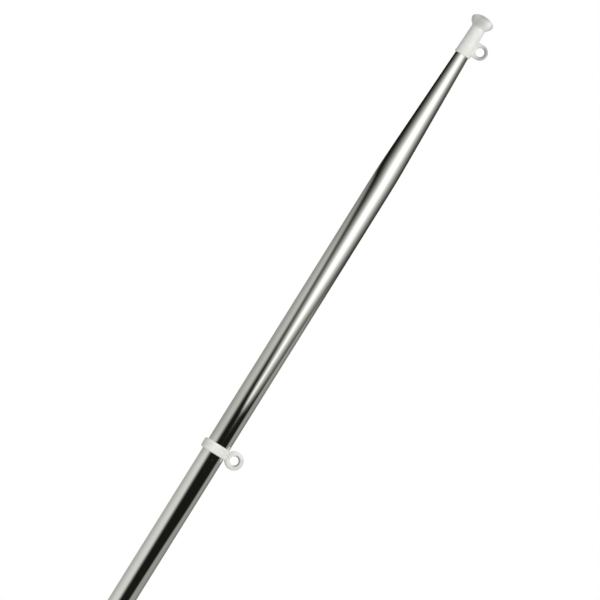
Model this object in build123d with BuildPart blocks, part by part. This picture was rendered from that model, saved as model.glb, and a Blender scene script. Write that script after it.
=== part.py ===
from build123d import *
import os

# A small boat flagstaff that stands upright on its foot: +Z runs up the staff, the origin is the
# middle of the foot's flat underside, and both eyes for the flag line point along +X.
# All sizes are in millimetres.

# Swaged stainless tube
tube_diameter = 25.0
tube_wall = 1.2
straight_length = 608.0
taper_length = 170.5
tip_diameter = 12.9
taper_blend_radius = 800.0
tube_edge_bevel = 0.3

# Push-in plug that closes the foot of the tube
plug_flange_step = 0.2
plug_flange_thickness = 2.5
plug_flange_bevel = 0.6
plug_stem_length = 18.0
plug_stem_gap = 1.1
plug_stem_wall = 1.8
plug_fin_count = 3
plug_fin_thickness = 1.0
plug_fin_pitch = 4.5

# Moulded truck that caps the tip of the tube
socket_depth = 26.0
sleeve_wall = 1.15
collar_height = 2.6
collar_step = 0.25
collar_bevel = 0.2
lip_bevel = 0.8
neck_length = 6.3
neck_bevel = 0.8
head_diameter = 24.2
head_flare_step = 1.2
head_flare_height = 3.5
head_belly_height = 3.2
head_rim_height = 0.4
head_rim_round = 4.6
head_dome_height = 6.4

# Eye on the truck for the top of the flag line
truck_eye_hole = 9.2
truck_eye_rim = 3.7
truck_eye_web = 1.5
truck_eye_thickness = 4.8
truck_eye_height = 11.8
truck_eye_bevel = 1.0
truck_eye_hole_bevel = 0.7
truck_eye_root_round = 0.6

# Ring that grips the tube, with the eye for the foot of the flag line
ring_level = 281.0
ring_height = 10.8
ring_wall = 3.1
ring_crown_bevel = 1.2
ring_eye_hole = 9.2
ring_eye_rim = 5.3
ring_eye_web = 1.65
ring_eye_thickness = 6.0
ring_eye_drop = 0.7
ring_eye_bevel = 1.35
ring_eye_hole_bevel = 1.05
ring_eye_root_round = 0.6

# Clearances between the pieces
press_clearance = 0.05
sliding_clearance = 0.05

# Places and radii that follow from those sizes
tube_radius = tube_diameter / 2
tube_bore_radius = tube_radius - tube_wall
tip_radius = tip_diameter / 2
tube_foot_level = plug_flange_thickness
taper_level = tube_foot_level + straight_length
tube_top_level = taper_level + taper_length
taper_slope = (tube_radius - tip_radius) / taper_length
truck_level = tube_top_level - socket_depth


def taper_radius(level):
    """Outer radius of the tube's taper, or of the same cone carried on past its tip."""
    return tube_radius - (level - taper_level) * taper_slope


def moulded_radius(level):
    """Outer radius of the truck's sleeve, which keeps its wall all along the taper."""
    return taper_radius(level) + press_clearance + sleeve_wall


# Tube: straight for most of its length, then the long taper that swaging leaves
with BuildPart() as pole_tube:
    with BuildSketch(Plane.XZ):
        with BuildLine():
            outside = FilletPolyline(
                (tube_radius, tube_foot_level),
                (tube_radius, taper_level),
                (tip_radius, tube_top_level),
                radius=taper_blend_radius,
            )
            inside = FilletPolyline(
                (tip_radius - tube_wall, tube_top_level),
                (tube_bore_radius, taper_level),
                (tube_bore_radius, tube_foot_level),
                radius=taper_blend_radius,
            )
            Line(outside @ 1, inside @ 0)
            Line(inside @ 1, outside @ 0)
        make_face()
    revolve(axis=Axis.Z)
    tube_rims = pole_tube.edges().filter_by(GeomType.CIRCLE).group_by(Axis.Z)
    chamfer(tube_rims[0] + tube_rims[-1], tube_edge_bevel)
pole_tube.part.label = "pole_tube"


# Foot plug: a flat flange on a hollow stem, with thin fins that grip the tube's bore
flange_radius = tube_radius - plug_flange_step
stem_radius = tube_bore_radius - plug_stem_gap
fin_radius = tube_bore_radius - press_clearance
with BuildPart() as foot_plug:
    Cylinder(flange_radius, plug_flange_thickness, align=(Align.CENTER, Align.CENTER, Align.MIN))
    chamfer(foot_plug.edges().group_by(Axis.Z)[0], plug_flange_bevel)
    with Locations((0, 0, tube_foot_level)):
        Cylinder(stem_radius, plug_stem_length, align=(Align.CENTER, Align.CENTER, Align.MIN))
    with Locations([(0, 0, tube_foot_level + (fin + 1) * plug_fin_pitch) for fin in range(plug_fin_count)]):
        Cone(fin_radius, stem_radius, plug_fin_thickness, align=(Align.CENTER, Align.CENTER, Align.MIN))
    with Locations((0, 0, tube_foot_level + plug_stem_length)):
        Hole(stem_radius - plug_stem_wall, plug_stem_length)
foot_plug.part.label = "foot_plug"


# Truck's eye: a D-shaped lug, bevelled all round, that starts inside the sleeve
truck_eye_level = truck_level + truck_eye_height
truck_eye_x = moulded_radius(truck_eye_level) + truck_eye_web + truck_eye_hole / 2
truck_eye_outer = truck_eye_hole / 2 + truck_eye_rim
with BuildPart() as truck_eye:
    with BuildSketch(Plane.XZ):
        with Locations((truck_eye_x, truck_eye_level)):
            Circle(truck_eye_outer)
            Rectangle(truck_eye_x, 2 * truck_eye_outer, align=(Align.MAX, Align.CENTER))
            Circle(truck_eye_hole / 2, mode=Mode.SUBTRACT)
    extrude(amount=truck_eye_thickness / 2, both=True)
    lug_sides = truck_eye.faces().filter_by(Axis.Y)
    hole_rims = ShapeList(edge for side in lug_sides for edge in side.inner_wires()[0].edges())
    chamfer(hole_rims, truck_eye_hole_bevel)
    lug_sides = truck_eye.faces().filter_by(Axis.Y)
    lug_outline = ShapeList(edge for side in lug_sides for edge in side.outer_wire().edges())
    lug_tip = truck_eye_x + truck_eye_outer
    chamfer(lug_outline.filter_by_position(Axis.X, 0, lug_tip, (False, True)), truck_eye_bevel)


# Truck: a tapered sleeve with a small collar, and a button-shaped head that flares from its neck
neck_level = tube_top_level + neck_length
collar_radius = moulded_radius(truck_level) + collar_step
collar_top_level = truck_level + collar_height
head_radius = head_diameter / 2
flare_radius = head_radius - head_flare_step
flare_top_level = neck_level + head_flare_height
rim_foot_level = flare_top_level + head_belly_height
rim_level = rim_foot_level + head_rim_height
truck_top_level = rim_level + head_dome_height

# The dome is drawn as two arcs that meet smoothly: a tight one round the rim, and a flatter crown
rim_centre_radius = head_radius - head_rim_round
crown_radius = (rim_centre_radius**2 + head_dome_height**2 - head_rim_round**2) / (
    2 * (head_dome_height - head_rim_round)
)
crown_centre_level = truck_top_level - crown_radius
crown_share = crown_radius / (crown_radius - head_rim_round)
crown_edge = (
    rim_centre_radius * crown_share,
    crown_centre_level + (rim_level - crown_centre_level) * crown_share,
)
with BuildPart() as truck:
    with BuildSketch(Plane.XZ):
        with BuildLine():
            skirt = Polyline(
                (0, truck_level),
                (collar_radius, truck_level),
                (collar_radius, collar_top_level),
                (moulded_radius(collar_top_level), collar_top_level),
                (moulded_radius(neck_level), neck_level),
                (flare_radius, flare_top_level),
                (head_radius, rim_foot_level),
                (head_radius, rim_level),
            )
            rim = RadiusArc(skirt @ 1, crown_edge, -head_rim_round)
            crown = RadiusArc(rim @ 1, (0, truck_top_level), -crown_radius)
            Line(crown @ 1, skirt @ 0)
        make_face()
    revolve(axis=Axis.Z)
    lip_edges, collar_edges, neck_edges = truck.edges().filter_by(GeomType.CIRCLE).group_by(Axis.Z)[:3]
    chamfer(lip_edges, lip_bevel)
    chamfer(collar_edges.sort_by(SortBy.RADIUS)[-1:], collar_bevel)
    chamfer(neck_edges, neck_bevel)
    add(truck_eye.part)
    fillet(truck.edges(Select.NEW), truck_eye_root_round)
    with BuildSketch(Plane.XZ):
        with BuildLine():
            Polyline(
                (0, truck_level),
                (taper_radius(truck_level) + press_clearance, truck_level),
                (tip_radius + press_clearance, tube_top_level),
                (0, tube_top_level),
                close=True,
            )
        make_face()
    revolve(axis=Axis.Z, mode=Mode.SUBTRACT)
truck.part.label = "truck"


# Ring's eye: a round loop, bevelled inside and out, that overlaps the band a little below its middle
ring_bore_radius = tube_radius + sliding_clearance
ring_radius = ring_bore_radius + ring_wall
ring_eye_x = ring_radius + ring_eye_web + ring_eye_hole / 2
ring_eye_level = ring_level - ring_eye_drop
with BuildPart() as ring_eye:
    with BuildSketch(Plane.XZ):
        with Locations((ring_eye_x, ring_eye_level)):
            Circle(ring_eye_hole / 2 + ring_eye_rim)
            Circle(ring_eye_hole / 2, mode=Mode.SUBTRACT)
    extrude(amount=ring_eye_thickness / 2, both=True)
    eye_rims = ring_eye.edges().filter_by(GeomType.CIRCLE).sort_by(SortBy.RADIUS)
    chamfer(eye_rims[:2], ring_eye_hole_bevel)
    chamfer(ring_eye.edges().filter_by(GeomType.CIRCLE).sort_by(SortBy.RADIUS)[-2:], ring_eye_bevel)

# Halyard ring: a bevelled band, bored to grip the straight tube, with the eye moulded on
with BuildPart() as halyard_ring:
    with Locations((0, 0, ring_level)):
        Cylinder(ring_radius, ring_height)
    chamfer(halyard_ring.edges().filter_by(GeomType.CIRCLE), ring_crown_bevel)
    add(ring_eye.part)
    eye_root = halyard_ring.edges(Select.NEW).filter_by_position(Axis.X, ring_bore_radius, ring_radius)
    fillet(eye_root, ring_eye_root_round)
    with Locations((0, 0, ring_level)):
        Cylinder(ring_bore_radius, 2 * (ring_eye_hole + 2 * ring_eye_rim), mode=Mode.SUBTRACT)
halyard_ring.part.label = "halyard_ring"


os.makedirs("parts", exist_ok=True)
for piece in (pole_tube, foot_plug, truck, halyard_ring):
    export_step(piece.part, f"parts/{piece.part.label}.step")
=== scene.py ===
import math

import bpy
from mathutils import Matrix, Vector


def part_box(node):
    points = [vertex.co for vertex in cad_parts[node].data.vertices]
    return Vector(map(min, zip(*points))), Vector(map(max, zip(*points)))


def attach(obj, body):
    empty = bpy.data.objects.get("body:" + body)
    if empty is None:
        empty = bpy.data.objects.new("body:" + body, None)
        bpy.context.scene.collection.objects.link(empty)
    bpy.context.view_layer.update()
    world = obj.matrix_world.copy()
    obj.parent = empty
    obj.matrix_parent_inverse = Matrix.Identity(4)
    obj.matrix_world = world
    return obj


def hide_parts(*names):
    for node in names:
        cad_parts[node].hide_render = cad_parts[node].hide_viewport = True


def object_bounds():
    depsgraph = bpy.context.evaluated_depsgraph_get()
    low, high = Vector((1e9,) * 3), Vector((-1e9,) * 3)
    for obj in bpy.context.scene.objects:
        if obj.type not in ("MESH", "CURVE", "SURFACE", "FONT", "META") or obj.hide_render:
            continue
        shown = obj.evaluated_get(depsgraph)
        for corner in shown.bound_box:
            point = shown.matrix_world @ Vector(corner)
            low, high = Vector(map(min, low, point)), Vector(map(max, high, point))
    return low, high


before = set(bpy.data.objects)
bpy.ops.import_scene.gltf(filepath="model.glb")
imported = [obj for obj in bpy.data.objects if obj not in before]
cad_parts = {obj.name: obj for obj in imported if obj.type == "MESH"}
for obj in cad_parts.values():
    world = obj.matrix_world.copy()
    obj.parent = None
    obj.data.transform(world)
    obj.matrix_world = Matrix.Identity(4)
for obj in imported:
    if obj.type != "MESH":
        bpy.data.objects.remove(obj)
cad_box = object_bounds()

# Lengths are in metres, angles in radians. The staff stands on its foot along +Z, with its eyes towards +X.
MM = 0.001
UP = Vector((0, 0, 1))

# The photograph's view of the staff
METRES_PER_PIXEL = 1.02 * MM
PICTURE_PIXELS = 600
PICTURE_MIDDLE = Vector((-7.86 * MM, 0, 455.1 * MM))
STAFF_LEAN = math.radians(31.96)
CAMERA_DISTANCE = 6.0
CAMERA_LIFT = math.radians(-1.5)
SENSOR_WIDTH = 36

# Tube
tube_low, tube_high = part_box("pole_tube")
TUBE_RADIUS = tube_high.x
TUBE_WALL = 1.2 * MM
TUBE_EDGE_ROUND = 0.52 * MM
TIP_RADIUS = 6.45 * MM
TAPER_START = 610.5 * MM
TAPER_BLEND_RADIUS = 800 * MM
TAPER_SLOPE = (TUBE_RADIUS - TIP_RADIUS) / (tube_high.z - TAPER_START)
FIT = 0.05 * MM

# Cap: its sleeve, collar and neck
truck_low, truck_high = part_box("truck")
SLEEVE_WALL = 1.15 * MM
SOCKET_RUN_OUT = 5 * MM
COLLAR_HEIGHT = 2.6 * MM
COLLAR_STEP = 0.25 * MM
COLLAR_ROUND = 0.24 * MM
LIP_ROUND = 1.2 * MM
NECK_LENGTH = 6.3 * MM
NECK_ROUND = 2.0 * MM

# Cap: its button-shaped head
HEAD_RADIUS = truck_high.y
HEAD_FLARE_STEP = 1.2 * MM
HEAD_FLARE_HEIGHT = 3.5 * MM
HEAD_BELLY_HEIGHT = 3.2 * MM
HEAD_BELLY_ROUND = 4.0 * MM
HEAD_WAIST_ROUND = 2.0 * MM
HEAD_RIM_HEIGHT = 0.4 * MM
HEAD_RIM_ROUND = 4.6 * MM
HEAD_DOME_HEIGHT = 6.4 * MM

# Cap: its eye
TRUCK_EYE_HOLE = 4.6 * MM
TRUCK_EYE_OUTER = 8.3 * MM
TRUCK_EYE_HALF = 2.4 * MM
TRUCK_EYE_ROUND = 1.75 * MM
TRUCK_EYE_HOLE_ROUND = 1.25 * MM
TRUCK_EYE = Vector((truck_high.x - TRUCK_EYE_OUTER, 0, truck_low.z + 11.8 * MM))
LUG_START = 2 * MM

# Ring and its eye
ring_low, ring_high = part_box("halyard_ring")
RING_BORE = TUBE_RADIUS + FIT
RING_BORE_RUN_OUT = 30 * MM
RING_RADIUS = ring_high.y
RING_MIDDLE = 281 * MM
RING_HALF = 5.4 * MM
RING_CROWN_ROUND = 2.1 * MM
RING_EYE_HOLE = 4.6 * MM
RING_EYE_OUTER = 9.9 * MM
RING_EYE_HALF = 3.0 * MM
RING_EYE_ROUND = 2.35 * MM
RING_EYE_HOLE_ROUND = 1.8 * MM
RING_EYE = Vector((ring_high.x - RING_EYE_OUTER, 0, (ring_low.z + ring_high.z) / 2))

# How finely the pieces are made
TURN_STEPS = 240
ARC_STEPS = 10
DOME_STEPS = 14
SMOOTH_ANGLE = math.radians(30)
TURNED_POINTS_APART = 0.0001 * MM
JOINED_POINTS_APART = 0.001 * MM


# Modelling by hand

def pick(piece):
    """Makes the piece the only selected and active one."""
    bpy.ops.object.select_all(action="DESELECT")
    piece.select_set(True)
    bpy.context.view_layer.objects.active = piece


def edit(piece):
    """Opens the piece in edit mode with nothing selected."""
    pick(piece)
    bpy.ops.object.mode_set(mode="EDIT")
    bpy.ops.mesh.select_mode(type="VERT")
    bpy.ops.mesh.select_all(action="DESELECT")


def end_edit():
    bpy.ops.object.mode_set(mode="OBJECT")


def select_points(piece, wanted):
    """In edit mode, selects just the points whose places are wanted."""
    bpy.ops.object.mode_set(mode="OBJECT")
    for point in piece.data.vertices:
        point.select = wanted(point.co)
    bpy.ops.object.mode_set(mode="EDIT")


def close_mesh(apart):
    """In edit mode, merges points no further apart than that, drops faces left with no area, and turns the rest
    outwards."""
    bpy.ops.mesh.select_all(action="SELECT")
    bpy.ops.mesh.remove_doubles(threshold=apart)
    bpy.ops.mesh.dissolve_degenerate(threshold=apart)
    bpy.ops.mesh.select_all(action="SELECT")
    bpy.ops.mesh.normals_make_consistent(inside=False)


def turn(name, points, axis=UP, centre=Vector((0, 0, 0))):
    """A turned piece: its profile, (out from the axis, along it), is drawn point by point from one corner, and
    spun about the axis."""
    spots = [centre + Vector((point[0], 0, 0)) + axis * point[1] for point in points]
    bpy.ops.object.select_all(action="DESELECT")
    bpy.ops.mesh.primitive_plane_add(size=1)
    piece = bpy.context.object
    piece.name = name
    edit(piece)
    bpy.ops.mesh.select_all(action="SELECT")
    bpy.ops.mesh.merge(type="CENTER")
    bpy.ops.transform.translate(value=spots[0])
    for spot, next_spot in zip(spots, spots[1:]):
        bpy.ops.mesh.extrude_region_move(TRANSFORM_OT_translate={"value": next_spot - spot})
    bpy.ops.mesh.select_all(action="SELECT")
    bpy.ops.mesh.remove_doubles(threshold=TURNED_POINTS_APART)
    bpy.ops.mesh.spin(steps=TURN_STEPS, angle=2 * math.pi, center=centre, axis=axis)
    close_mesh(TURNED_POINTS_APART)
    end_edit()
    return piece


def combine(piece, tool, operation):
    """Joins the tool to the piece, or cuts it out of the piece, and throws the tool away."""
    pick(piece)
    modifier = piece.modifiers.new("combine", "BOOLEAN")
    modifier.operation = operation
    modifier.solver = "EXACT"
    modifier.object = tool
    bpy.ops.object.modifier_apply(modifier=modifier.name)
    bpy.data.objects.remove(tool)
    edit(piece)
    close_mesh(JOINED_POINTS_APART)
    end_edit()


def rounded(corners):
    """Points of a profile that is given by its corners, (across, along, round), each rounded so far."""
    points = []
    for index, (across, along, radius) in enumerate(corners):
        corner = Vector((across, along))
        if radius == 0:
            points.append(corner)
            continue
        back = (Vector(corners[index - 1][:2]) - corner).normalized()
        ahead = (Vector(corners[(index + 1) % len(corners)][:2]) - corner).normalized()
        half = math.acos(back.dot(ahead)) / 2
        centre = corner + (back + ahead).normalized() * (radius / math.sin(half))
        start = corner + back * (radius / math.tan(half)) - centre
        end = corner + ahead * (radius / math.tan(half)) - centre
        sweep = math.pi - 2 * half
        for step in range(ARC_STEPS + 1):
            done = sweep * step / ARC_STEPS
            points.append(centre + (start * math.sin(sweep - done) + end * math.sin(done)) / math.sin(sweep))
    return points


def closed(points):
    return [*points, points[0]]


def finish_piece(piece, node, body, material):
    """Shades the piece, gives it its material, and puts it in its node's place in the frame."""
    pick(piece)
    bpy.ops.object.shade_smooth_by_angle(angle=SMOOTH_ANGLE)
    piece.data.materials.clear()
    piece.data.materials.append(material)
    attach(piece, body)
    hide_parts(node)


# Materials are written as sums on numbers that travel between nodes

class Number:
    """A socket that carries a number, with the arithmetic that the finishes are written in."""

    def __init__(self, finish, socket):
        self.finish = finish
        self.socket = socket

    def _math(self, operation, *values):
        return self.finish.number("ShaderNodeMath", {"operation": operation}, dict(enumerate(values)))

    def __add__(self, other):
        return self._math("ADD", self, other)

    __radd__ = __add__

    def __mul__(self, other):
        return self._math("MULTIPLY", self, other)

    __rmul__ = __mul__

    def __sub__(self, other):
        return self._math("SUBTRACT", self, other)

    def __rsub__(self, other):
        return self._math("SUBTRACT", other, self)

    def __truediv__(self, other):
        return self._math("DIVIDE", self, other)

    def __rtruediv__(self, other):
        return self._math("DIVIDE", other, self)

    def __pow__(self, other):
        return self._math("POWER", self, other)

    def __rpow__(self, other):
        return self._math("POWER", other, self)

    def larger(self, other):
        return self._math("MAXIMUM", self, other)

    def smaller(self, other):
        return self._math("MINIMUM", self, other)

    def size(self):
        return self._math("ABSOLUTE", self)

    def sign(self):
        return self._math("SIGN", self)


class Finish:
    """A material, or the world, and the node tree that it is drawn with."""

    def __init__(self, owner):
        self.owner = owner
        owner.use_nodes = True
        self.tree = owner.node_tree
        self.tree.nodes.clear()

    def node(self, kind, settings=None, inputs=None):
        """A node of that type. Its settings are set first, then its sockets get values or links."""
        made = self.tree.nodes.new(kind)
        for name, value in (settings or {}).items():
            if name == "points":
                self._set_points(made.mapping, value)
            else:
                setattr(made, name, value)
        for name, value in (inputs or {}).items():
            socket = made.inputs[name]
            if isinstance(value, Number):
                self.tree.links.new(value.socket, socket)
            elif isinstance(value, bpy.types.NodeSocket):
                self.tree.links.new(value, socket)
            else:
                socket.default_value = value
        return made

    def number(self, kind, settings=None, inputs=None, output=0):
        return Number(self, self.node(kind, settings, inputs).outputs[output])

    def _set_points(self, mapping, points):
        curve = mapping.curves[0]
        for point, place in zip(curve.points, (points[0], points[-1])):
            point.location = place
        for place in points[1:-1]:
            curve.points.new(*place)
        mapping.update()

    def ramp(self, value, low, high, from_value=0.0, to_value=1.0, shape="LINEAR"):
        """A straight slope from from_value to to_value as value goes from low to high, and level beyond."""
        limits = {"From Min": low, "From Max": high, "To Min": from_value, "To Max": to_value}
        return self.number("ShaderNodeMapRange", {"interpolation_type": shape}, {"Value": value, **limits})

    def step(self, value, low, high, from_value=0.0, to_value=1.0):
        """The same as a soft step, level at both of its ends."""
        return self.ramp(value, low, high, from_value, to_value, "SMOOTHSTEP")

    def place(self):
        """The place of a point in the shared frame."""
        return self.node("ShaderNodeTexCoord").outputs["Object"]

    def split(self, place):
        """The three numbers that a place is made of."""
        parts = self.node("ShaderNodeSeparateXYZ", None, {"Vector": place})
        return [Number(self, parts.outputs[axis]) for axis in "XYZ"]

    def stretched(self, place, scale, turned=(0, 0, 0)):
        """The place scaled along each axis, so that a pattern on it comes out drawn long."""
        return self.node("ShaderNodeMapping", None, {"Vector": place, "Rotation": turned, "Scale": scale}).outputs[0]

    def noise(self, place, scale, detail):
        return self.number("ShaderNodeTexNoise", None, {"Vector": place, "Scale": scale, "Detail": detail})

    def seen_directly(self):
        """1 for the rays that look at the room: the camera's, and those that metal or glass sends on."""
        path = self.node("ShaderNodeLightPath")
        camera, glossy, through = (
            Number(self, path.outputs[ray]) for ray in ("Is Camera Ray", "Is Glossy Ray", "Is Transmission Ray"))
        return camera.larger(glossy).larger(through)

    def end(self, shader):
        """Shows the shader as the surface, and gives back the material."""
        self.node("ShaderNodeOutputMaterial", None, {"Surface": shader.outputs[0]})
        return self.owner


# World: white wherever it is looked at, and a soft light on the staff
FILL_LEVEL = 0.56
WHITE = (1, 1, 1, 1)


def make_world():
    world = bpy.data.worlds.new("studio")
    bpy.context.scene.world = world
    finish = Finish(world)
    strength = FILL_LEVEL + finish.seen_directly() * (1 - FILL_LEVEL)
    background = finish.node("ShaderNodeBackground", None, {"Color": WHITE, "Strength": strength})
    finish.node("ShaderNodeOutputWorld", None, {"Surface": background.outputs[0]})


# Floor
FLOOR_SIZE = 80.0
FLOOR_LIT_RADIUS = 0.25
FLOOR_FADE_RADIUS = 0.75
FLOOR_COLOUR = (0.9, 0.9, 0.9, 1)
FLOOR_GLOW = 0.22


def make_floor():
    """The floor keeps the staff's shadow near its foot and fades into plain white further out."""
    bpy.ops.object.select_all(action="DESELECT")
    bpy.ops.mesh.primitive_plane_add(size=FLOOR_SIZE)
    floor = bpy.context.object
    floor.name = "floor"
    finish = Finish(bpy.data.materials.new("floor"))
    distance = finish.number("ShaderNodeVectorMath", {"operation": "LENGTH"}, {0: finish.place()}, output=1)
    far = finish.step(distance, FLOOR_LIT_RADIUS, FLOOR_FADE_RADIUS)
    seen = finish.seen_directly()
    paint = finish.node("ShaderNodeBsdfDiffuse", None, {"Color": FLOOR_COLOUR})
    glow = finish.node("ShaderNodeEmission", None, {"Color": WHITE, "Strength": seen * FLOOR_GLOW})
    lit = finish.node("ShaderNodeAddShader", None, {0: paint.outputs[0], 1: glow.outputs[0]})
    white = finish.node("ShaderNodeEmission", None, {"Color": WHITE, "Strength": 1.0})
    both = finish.node("ShaderNodeMixShader", None, {0: far * seen, 1: lit.outputs[0], 2: white.outputs[0]})
    floor.data.materials.append(finish.end(both))


# Light tent: a round wall and a floor card that show only in reflections. The wall's panels are placed so that
# the steel shows the photographed stripes. The card keeps the lower staff from vanishing against the floor.
TENT_RADIUS = 0.55
TENT_HEIGHT = 1.0
TENT_FOOT = 2 * MM
TENT_SEGMENTS = 180
STEEL_REFLECTS = 0.92
EYE_POWER = 2.2

# How light its panels look, from 0 to 1 as the eye sees them, and how much of their blue the darker ones lack
PANEL_BLACK = 0.115
GREY_WARMTH = 0.16
CARD_NEAR_LEVEL = 0.72
CARD_FAR_LEVEL = 0.42
CARD_EDGE = (0.96, 0.99)

# Fades of the grey panels: (where it starts, where it ends, value before, value after)
LEFT_BY_HEIGHT = (0.24, 0.29, 0.80, 0.71)
LEFT_NEAR_TOP = (0.50, 0.62, 1.0, 0.88)
LEFT_BY_SIDE = (-1.0, -0.5, 0.80, 1.0)
RIGHT_BY_HEIGHT = (0.42, 0.54, 0.57, 0.28)
RIGHT_NEAR_TOP = (0.70, 0.85, 0.0, 0.12)
RIGHT_BY_SIDE = (0.75, 1.0, 1.0, 0.8)
LEFT_EDGE_SOFTNESS = 0.2
RIGHT_EDGE_SOFTNESS = 0.1
WHITE_RISE_POWER = 1.15
BEHIND_EDGE = (0.94, 0.99)

# Where the panels' edges stand: (height, side), the side from -1 at the far left to 1 at the far right
SIDE_REACH = 1.5
GREY_LEFT_EDGE = ((0.0, -0.16), (0.12, -0.175), (0.18, -0.2), (0.25, -0.24), (0.34, -0.26), (0.43, -0.29),
                  (0.52, -0.42), (0.6, -0.63), (0.63, -0.76), (0.66, -0.93), (1.0, -1.3))
GREY_RIGHT_EDGE = ((0.0, 0.44), (0.12, 0.51), (0.19, 0.60), (0.25, 0.61), (0.34, 0.60), (0.43, 0.67), (1.0, 0.7))
WHITE_LEFT_FOOT = ((0.0, 0.2), (0.29, 0.07), (0.33, -0.12), (0.38, -0.28), (0.43, -0.42), (0.47, -0.50),
                   (0.52, -0.60), (0.6, -0.69), (0.63, -0.74), (0.69, -0.93), (0.78, -1.0), (1.0, -0.95))
WHITE_LEFT_TOP = ((0.0, 0.6), (0.29, 0.45), (0.33, 0.15), (0.38, 0.155), (0.43, 0.11), (0.52, 0.05), (0.63, -0.01),
                  (0.69, -0.06), (0.78, -0.08), (1.0, -0.05))
WHITE_RIGHT_TOP = ((0.0, -0.3), (0.29, -0.25), (0.33, 0.13), (0.38, 0.17), (0.47, 0.27), (0.52, 0.33), (0.63, 0.34),
                   (0.78, 0.28), (1.0, 0.2))
WHITE_RIGHT_FOOT = ((0.0, 0.2), (0.29, 0.34), (0.33, 0.58), (0.38, 0.80), (0.43, 0.88), (0.47, 0.98), (0.56, 1.06),
                    (0.78, 1.04), (1.0, 0.90))


def panel_edge(finish, height, points):
    """The side at which a panel's edge stands, at this height."""
    curve = [(level, (side + SIDE_REACH) / (2 * SIDE_REACH)) for level, side in points]
    drawn = finish.number("ShaderNodeFloatCurve", {"points": curve}, {"Value": height})
    return drawn * (2 * SIDE_REACH) - SIDE_REACH


def left_panel(finish, height, side):
    grey = finish.step(height, *LEFT_BY_HEIGHT) * finish.step(side, *LEFT_BY_SIDE)
    grey = grey * finish.step(height, *LEFT_NEAR_TOP)
    edge = panel_edge(finish, height, GREY_LEFT_EDGE)
    return grey * finish.step(side, edge - LEFT_EDGE_SOFTNESS, edge + LEFT_EDGE_SOFTNESS, 1, 0)


def right_panel(finish, height, side):
    grey = finish.step(height, *RIGHT_BY_HEIGHT) + finish.step(height, *RIGHT_NEAR_TOP)
    edge = panel_edge(finish, height, GREY_RIGHT_EDGE)
    shown = finish.step(side, edge - RIGHT_EDGE_SOFTNESS, edge + RIGHT_EDGE_SOFTNESS)
    return grey * shown * finish.step(side, *RIGHT_BY_SIDE)


def white_panel(finish, height, side):
    """A white wedge, point down, that rises from its left foot and falls to its right one."""
    left_foot, left_top, right_top, right_foot = (
        panel_edge(finish, height, points)
        for points in (WHITE_LEFT_FOOT, WHITE_LEFT_TOP, WHITE_RIGHT_TOP, WHITE_RIGHT_FOOT))
    rising = finish.ramp(side, left_foot, left_top) ** WHITE_RISE_POWER
    falling = finish.ramp(side, right_top, right_foot, 1, 0)
    return rising.smaller(falling)


def tent_light():
    """Grey and black panels low down, a white one that opens like a wedge above them, a bright strip behind the
    staff, and the floor card. Side is the offset at which the staff shows each panel to the camera."""
    finish = Finish(bpy.data.materials.new("light_tent"))
    x, y, height = finish.split(finish.place())
    side = x.sign() * ((y / TENT_RADIUS + 1) * 0.5).larger(0) ** 0.5
    greys = left_panel(finish, height, side).larger(right_panel(finish, height, side))
    behind = finish.step(y / TENT_RADIUS, *BEHIND_EDGE)
    wall_level = greys.larger(white_panel(finish, height, side)).larger(behind).larger(PANEL_BLACK)
    reach = (x * x + y * y) ** 0.5 / TENT_RADIUS
    card_level = finish.ramp(reach, 0, 1, CARD_NEAR_LEVEL, CARD_FAR_LEVEL)
    seen_level = wall_level + (card_level - wall_level) * finish.step(reach, *CARD_EDGE, 1, 0)
    level = seen_level ** EYE_POWER / STEEL_REFLECTS
    blue = level * (1 - (1 - seen_level) * GREY_WARMTH)
    colour = finish.node("ShaderNodeCombineColor", None, {"Red": level, "Green": level, "Blue": blue})
    return finish.end(finish.node("ShaderNodeEmission", None, {"Color": colour.outputs[0], "Strength": 1.0}))


def make_tent():
    """The tent is open above, and hidden from all but the rays that shiny pieces send out."""
    bpy.ops.object.select_all(action="DESELECT")
    bpy.ops.mesh.primitive_cylinder_add(
        vertices=TENT_SEGMENTS, radius=TENT_RADIUS, depth=TENT_HEIGHT, end_fill_type="NOTHING",
        location=(0, 0, TENT_FOOT + TENT_HEIGHT / 2),
    )
    bpy.ops.object.transform_apply(location=True, rotation=True, scale=True)
    tent = bpy.context.object
    tent.name = "light_tent"
    edit(tent)
    select_points(tent, lambda place: place.z < TENT_FOOT + TENT_HEIGHT / 2)
    bpy.ops.mesh.edge_face_add()
    end_edit()
    tent.visible_camera = False
    tent.visible_diffuse = False
    tent.visible_shadow = False
    tent.visible_transmission = False
    tent.visible_volume_scatter = False
    tent.data.materials.append(tent_light())


# Lamp
KEY_SIDE = math.radians(30)
KEY_LIFT = math.radians(24)
KEY_DISTANCE = 2.2
KEY_SIZE = 1.1
KEY_LEVEL = 0.43


def make_key_lamp():
    """One large soft lamp to the right of the camera. At level 1 it alone would show white paint as white."""
    aim = UP * ((cad_box[0].z + cad_box[1].z) / 2)
    forward = math.cos(KEY_LIFT)
    direction = Vector((math.sin(KEY_SIDE) * forward, -math.cos(KEY_SIDE) * forward, math.sin(KEY_LIFT)))
    light = bpy.data.lights.new("key", "AREA")
    light.shape = "DISK"
    light.size = KEY_SIZE
    light.energy = KEY_LEVEL * math.pi ** 2 * KEY_DISTANCE ** 2
    lamp = bpy.data.objects.new("key", light)
    lamp.location = aim + direction * KEY_DISTANCE
    lamp.rotation_mode = "QUATERNION"
    lamp.rotation_quaternion = direction.to_track_quat("Z", "Y")
    lamp.visible_glossy = False
    bpy.context.scene.collection.objects.link(lamp)


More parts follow.
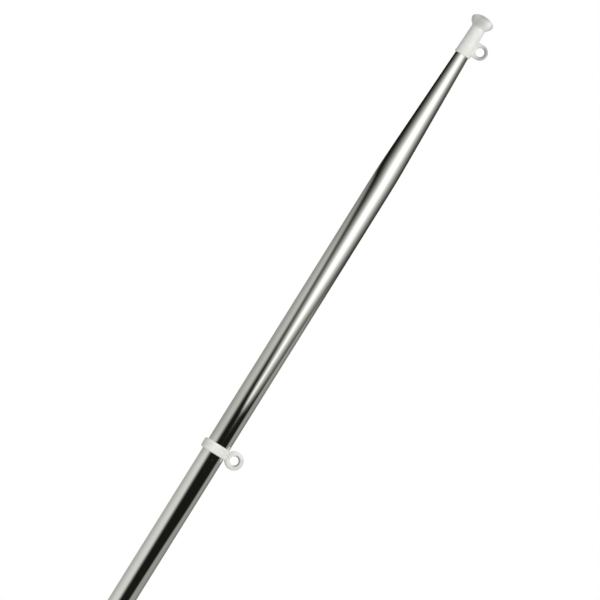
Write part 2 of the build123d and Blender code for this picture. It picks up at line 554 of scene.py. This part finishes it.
def make_camera():
    """A long lens, a little below level and rolled, so that the staff leans to the right as photographed."""
    data = bpy.data.cameras.new("camera")
    data.sensor_width = SENSOR_WIDTH
    data.lens = SENSOR_WIDTH * CAMERA_DISTANCE / (PICTURE_PIXELS * METRES_PER_PIXEL)
    data.clip_end = 200
    camera = bpy.data.objects.new("camera", data)
    back = Vector((0, -math.cos(CAMERA_LIFT), math.sin(CAMERA_LIFT)))
    level_right = Vector((1, 0, 0))
    level_up = back.cross(level_right)
    right = level_right * math.cos(STAFF_LEAN) + level_up * math.sin(STAFF_LEAN)
    up = back.cross(right)
    roll = Matrix((right, up, back)).transposed().to_4x4()
    camera.matrix_world = Matrix.Translation(PICTURE_MIDDLE + back * CAMERA_DISTANCE) @ roll
    bpy.context.scene.collection.objects.link(camera)
    bpy.context.scene.camera = camera


# Steel: how its marks are drawn out along and round the tube, how deep they are, and how much they blur
STEEL_COLOUR = (0.93, 0.925, 0.91, 1)
STEEL_ROUGHNESS = (0.045, 0.085)
POLISH_LINES = (90, 90, 3200)
POLISH_SLANT = (0.25, 0.3, 0)
POLISH_DEPTH = 0.25
SCRATCHES = (1500, 1500, 12)
SCRATCH_EDGE = (0.62, 0.75)
SCRATCH_DEPTH = 0.5
SCRATCH_BLUR = 0.05
WAVES = (60, 60, 14)
WAVE_DEPTH = 12
HAZE_SCALE = 45
HAZE_EDGE = (0.35, 0.7)


def polished_steel():
    """Mirror-polished stainless: fine slanting polish lines, a few lengthwise scratches and a slow waviness."""
    finish = Finish(bpy.data.materials.new("polished_steel"))
    place = finish.place()
    polish = finish.noise(finish.stretched(place, POLISH_LINES, POLISH_SLANT), 1, 3)
    scratches = finish.step(finish.noise(finish.stretched(place, SCRATCHES), 1, 2), *SCRATCH_EDGE)
    waves = finish.noise(finish.stretched(place, WAVES), 1, 1)
    haze = finish.step(finish.noise(place, HAZE_SCALE, 4), *HAZE_EDGE, *STEEL_ROUGHNESS)
    relief = polish * POLISH_DEPTH + scratches * SCRATCH_DEPTH + waves * WAVE_DEPTH
    bump = finish.node("ShaderNodeBump", None, {"Strength": 0.5, "Distance": 2e-6, "Height": relief})
    return finish.end(finish.node("ShaderNodeBsdfPrincipled", None, {
        "Base Color": STEEL_COLOUR, "Metallic": 1.0, "Roughness": haze + scratches * SCRATCH_BLUR,
        "Normal": bump.outputs[0],
    }))


# Nylon
NYLON_LIGHTNESS = 0.79
NYLON_CLOUDINESS = 0.03
NYLON_BLUE = 0.955
NYLON_ROUGHNESS = (0.36, 0.48)
CLOUD_SCALE = 140
CLOUD_EDGE = (0.3, 0.7)
GRAIN_SCALE = 1400


def white_nylon(name, painted_shading=None):
    """Injection-moulded nylon: a warm off-white with a soft sheen and faint cloudiness. The shading function, when
    given, gets the finish, the place and the cloudiness, and returns the share of the colour's lightness that the
    piece has there: painted shade and painted light."""
    finish = Finish(bpy.data.materials.new(name))
    place = finish.place()
    cloud = finish.noise(place, CLOUD_SCALE, 3)
    grain = finish.noise(place, GRAIN_SCALE, 2)
    lightness = finish.ramp(
        cloud, *CLOUD_EDGE, NYLON_LIGHTNESS - NYLON_CLOUDINESS, NYLON_LIGHTNESS + NYLON_CLOUDINESS)
    if painted_shading:
        # painted shade and painted light multiplied into the colour
        lightness = lightness * painted_shading(finish, place, cloud)
    colour = finish.node("ShaderNodeCombineColor", None, {
        "Red": lightness, "Green": lightness, "Blue": lightness * NYLON_BLUE})
    bump = finish.node("ShaderNodeBump", None, {"Strength": 0.35, "Distance": 2e-5, "Height": grain})
    return finish.end(finish.node("ShaderNodeBsdfPrincipled", None, {
        "Base Color": colour.outputs[0], "Roughness": finish.step(cloud, *CLOUD_EDGE, *NYLON_ROUGHNESS),
        "IOR": 1.53, "Subsurface Weight": 0.12, "Subsurface Radius": (1.0, 0.97, 0.88),
        "Subsurface Scale": 1.2 * MM, "Normal": bump.outputs[0],
    }))


def eye_place(finish, place, middle):
    """Where a point lies on an eye: how far from its middle, and how far along X and Z."""
    x, _, z = finish.split(place)
    across = x - middle.x
    up = z - middle.z
    return (across * across + up * up) ** 0.5, across, up


# Painted shade and painted light on the cap, as fades of lightness: (where it starts, where it ends, value before,
# value after). Across is measured from the staff's axis or from the eye's middle, up from the eye's middle, and
# reach out from it.
# painted shade across the head's middle, and painted light on its right side
HEAD_PAINTED_SHADE_ACROSS = (-10 * MM, -3 * MM, 0.92, 0.64)
HEAD_PAINTED_LIGHT_ACROSS = (0, 9 * MM, 0, 0.44)
HEAD_START = tube_high.z - TRUCK_EYE.z + 3 * MM
HEAD_PAINTED_SHADE_UP = (HEAD_START, HEAD_START + 8 * MM)
HEAD_PAINTED_SHADE_TILT = 0.25
HEAD_PAINTED_SHADE_SWAY = 2 * MM
# painted shade on the head's crown
CROWN_START = truck_high.z - TRUCK_EYE.z - 4 * MM
CROWN_PAINTED_SHADE_UP = (CROWN_START, CROWN_START + 3 * MM, 1, 0.82)
# painted shade over the lug
LUG_PAINTED_SHADE_ACROSS = (-7 * MM, -2 * MM, 1, 0.82)
# painted shade round the far side of the eye's hole
CAP_EYE_PAINTED_SHADE_LIGHTNESS = 0.47
CAP_EYE_PAINTED_SHADE_BEND = 0.2
CAP_EYE_PAINTED_SHADE_ACROSS = (-1.5 * MM, 5.5 * MM)
CAP_EYE_PAINTED_SHADE_IN = (3 * MM, 5.2 * MM)
CAP_EYE_PAINTED_SHADE_OUT = (6.0 * MM, 8.2 * MM, 1, 0.35)


def cap_painted_shading(finish, place, cloud):
    """Painted shade and light: the head is painted darker than the sleeve, most of all on its crown and middle, with
    painted light on its right side; the lug is painted a little darker; and painted shade lies round the far side of
    the eye's hole."""
    reach, across, up = eye_place(finish, place, TRUCK_EYE)
    axis = across + TRUCK_EYE.x
    # painted shade over the head, deepest on its crown and middle, and painted light on its right side
    tilted = up - axis * HEAD_PAINTED_SHADE_TILT - cloud * HEAD_PAINTED_SHADE_SWAY
    crown = finish.step(up, *CROWN_PAINTED_SHADE_UP)
    head_shade_and_light = (finish.step(axis, *HEAD_PAINTED_SHADE_ACROSS) + finish.step(axis, *HEAD_PAINTED_LIGHT_ACROSS)) * crown
    head = 1 - finish.step(tilted, *HEAD_PAINTED_SHADE_UP) * (1 - head_shade_and_light)
    # painted shade over the lug
    lug = finish.step(across, *LUG_PAINTED_SHADE_ACROSS)
    # painted shade round the far side of the eye's hole
    far = finish.step(across + up.size() * CAP_EYE_PAINTED_SHADE_BEND, *CAP_EYE_PAINTED_SHADE_ACROSS)
    painted_eye_shade = finish.step(reach, *CAP_EYE_PAINTED_SHADE_IN) * finish.step(reach, *CAP_EYE_PAINTED_SHADE_OUT) * far
    return head * lug * (1 - painted_eye_shade * (1 - CAP_EYE_PAINTED_SHADE_LIGHTNESS))


# Painted shade and painted light on the ring, written in the same way
# painted shade round the far side of the eye's hole
RING_EYE_PAINTED_SHADE_LIGHTNESS = 0.42
RING_EYE_PAINTED_SHADE_TILT = 0.3
RING_EYE_PAINTED_SHADE_ACROSS = (-1.5 * MM, 3 * MM)
RING_EYE_PAINTED_SHADE_OUT = (5.6 * MM, 7.0 * MM, 1, 0.1)
# painted light on the eye's top and on the band's left
RING_TOP_PAINTED_LIGHT_UP = (4 * MM, 8 * MM, 0, 0.14)
BAND_LEFT_PAINTED_LIGHT_START = (-36 * MM, -30 * MM)
BAND_LEFT_PAINTED_LIGHT_END = (-26 * MM, -14 * MM, 0.16, 0)


def ring_painted_shading(finish, place, cloud):
    """Painted shade round the far side of the eye's hole, and painted light on the eye's top and on the band's left."""
    reach, across, up = eye_place(finish, place, RING_EYE)
    # painted shade round the far side of the eye's hole
    far = finish.step(across + up * RING_EYE_PAINTED_SHADE_TILT, *RING_EYE_PAINTED_SHADE_ACROSS)
    painted_eye_shade = finish.step(reach, *RING_EYE_PAINTED_SHADE_OUT) * far
    # painted light on the eye's top and on the band's left
    top = finish.step(up, *RING_TOP_PAINTED_LIGHT_UP)
    band = finish.step(across, *BAND_LEFT_PAINTED_LIGHT_START) * finish.step(across, *BAND_LEFT_PAINTED_LIGHT_END)
    return 1 + top + band - painted_eye_shade * (1 - RING_EYE_PAINTED_SHADE_LIGHTNESS)


# Pieces

def make_tube(steel):
    """The tube: one profile, outside and inside, turned about the axis."""
    inner_radius = TUBE_RADIUS - TUBE_WALL
    inner_tip_radius = TIP_RADIUS - TUBE_WALL
    tube = turn("staff_tube", closed(rounded((
        (TUBE_RADIUS, tube_low.z, TUBE_EDGE_ROUND),
        (TUBE_RADIUS, TAPER_START, TAPER_BLEND_RADIUS),
        (TIP_RADIUS, tube_high.z, TUBE_EDGE_ROUND),
        (inner_tip_radius, tube_high.z, TUBE_EDGE_ROUND),
        (inner_radius, TAPER_START, TAPER_BLEND_RADIUS),
        (inner_radius, tube_low.z, TUBE_EDGE_ROUND),
    ))))
    finish_piece(tube, "pole_tube", "pole", steel)


def taper_radius(height):
    return TUBE_RADIUS - (height - TAPER_START) * TAPER_SLOPE


def sleeve_radius(height):
    return taper_radius(height) + FIT + SLEEVE_WALL


def loop_profile(hole, outer, half, hole_round, outer_round):
    """Section of an eye's loop: how far it is from the hole's middle, and how far along the hole."""
    return closed(rounded((
        (hole, -half, hole_round), (outer, -half, outer_round), (outer, half, outer_round), (hole, half, hole_round),
    )))


def dome_points(level):
    """The head's dome from its rim up: a tight arc round the rim, and a flatter crown that meets it smoothly."""
    rim_centre = HEAD_RADIUS - HEAD_RIM_ROUND
    crown = (rim_centre ** 2 + HEAD_DOME_HEIGHT ** 2 - HEAD_RIM_ROUND ** 2) / (
        2 * (HEAD_DOME_HEIGHT - HEAD_RIM_ROUND))
    crown_level = level + HEAD_DOME_HEIGHT - crown
    meet = math.atan2(level - crown_level, rim_centre)
    points = []
    for step in range(DOME_STEPS):
        angle = meet * step / DOME_STEPS
        points.append((rim_centre + HEAD_RIM_ROUND * math.cos(angle), level + HEAD_RIM_ROUND * math.sin(angle)))
    for step in range(DOME_STEPS + 1):
        angle = meet + (math.pi / 2 - meet) * step / DOME_STEPS
        points.append((crown * math.cos(angle), crown_level + crown * math.sin(angle)))
    return points


def make_lug():
    """The cap's lug: a flat round eye whose near half is drawn straight back into the sleeve."""
    profile = loop_profile(
        TRUCK_EYE_HOLE, TRUCK_EYE_OUTER, TRUCK_EYE_HALF, TRUCK_EYE_HOLE_ROUND, TRUCK_EYE_ROUND)
    lug = turn("lug", profile, Vector((0, 1, 0)), TRUCK_EYE)
    near = TRUCK_EYE.x - 0.01 * MM
    loop_middle = (TRUCK_EYE_HOLE + TRUCK_EYE_OUTER) / 2

    def is_near_and_outside(place):
        return place.x < near and math.hypot(place.x - TRUCK_EYE.x, place.z - TRUCK_EYE.z) > loop_middle

    edit(lug)
    select_points(lug, is_near_and_outside)
    bpy.ops.transform.resize(value=(0, 1, 1), center_override=(LUG_START, 0, 0))
    end_edit()
    return lug


def make_cap(nylon):
    """The cap: its body turned, the D-shaped lug joined on, and the socket for the tube's tip cut out."""
    base = truck_low.z
    collar = sleeve_radius(base) + COLLAR_STEP
    collar_top = base + COLLAR_HEIGHT
    neck = tube_high.z + NECK_LENGTH
    flare_top = neck + HEAD_FLARE_HEIGHT
    rim_foot = flare_top + HEAD_BELLY_HEIGHT
    rim = rim_foot + HEAD_RIM_HEIGHT
    skirt = rounded((
        (0, base, 0),
        (collar, base, LIP_ROUND),
        (collar, collar_top, COLLAR_ROUND),
        (sleeve_radius(collar_top), collar_top, 0),
        (sleeve_radius(neck), neck, NECK_ROUND),
        (HEAD_RADIUS - HEAD_FLARE_STEP, flare_top, HEAD_BELLY_ROUND),
        (HEAD_RADIUS, rim_foot, HEAD_WAIST_ROUND),
        (HEAD_RADIUS, rim, 0),
    ))
    cap = turn("cap_moulding", skirt + dome_points(rim)[1:])
    combine(cap, make_lug(), "UNION")
    socket_foot = base - SOCKET_RUN_OUT
    socket = turn("socket", (
        (0, socket_foot), (taper_radius(socket_foot) + FIT, socket_foot),
        (TIP_RADIUS + FIT, tube_high.z), (0, tube_high.z),
    ))
    combine(cap, socket, "DIFFERENCE")
    finish_piece(cap, "truck", "pole", nylon)


def make_ring(nylon):
    """The ring: a crowned disc with its eye joined on, then bored for the tube."""
    foot, top = RING_MIDDLE - RING_HALF, RING_MIDDLE + RING_HALF
    disc = turn("ring_moulding", rounded((
        (0, foot, 0), (RING_RADIUS, foot, RING_CROWN_ROUND), (RING_RADIUS, top, RING_CROWN_ROUND), (0, top, 0),
    )))
    profile = loop_profile(RING_EYE_HOLE, RING_EYE_OUTER, RING_EYE_HALF, RING_EYE_HOLE_ROUND, RING_EYE_ROUND)
    combine(disc, turn("eye", profile, Vector((0, 1, 0)), RING_EYE), "UNION")
    bore_foot, bore_top = RING_MIDDLE - RING_BORE_RUN_OUT, RING_MIDDLE + RING_BORE_RUN_OUT
    bore = turn("bore", ((0, bore_foot), (RING_BORE, bore_foot), (RING_BORE, bore_top), (0, bore_top)))
    combine(disc, bore, "DIFFERENCE")
    finish_piece(disc, "halyard_ring", "ring", nylon)


def finish_plug(nylon):
    """The foot plug keeps the shape that the frame gives it."""
    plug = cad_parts["foot_plug"]
    plug.data.materials.clear()
    plug.data.materials.append(nylon)


make_camera()
make_world()
make_floor()
make_tent()
make_key_lamp()
bpy.context.scene.view_settings.view_transform = "Standard"

make_tube(polished_steel())
make_cap(white_nylon("cap_nylon", cap_painted_shading))
make_ring(white_nylon("ring_nylon", ring_painted_shading))
finish_plug(white_nylon("plug_nylon"))
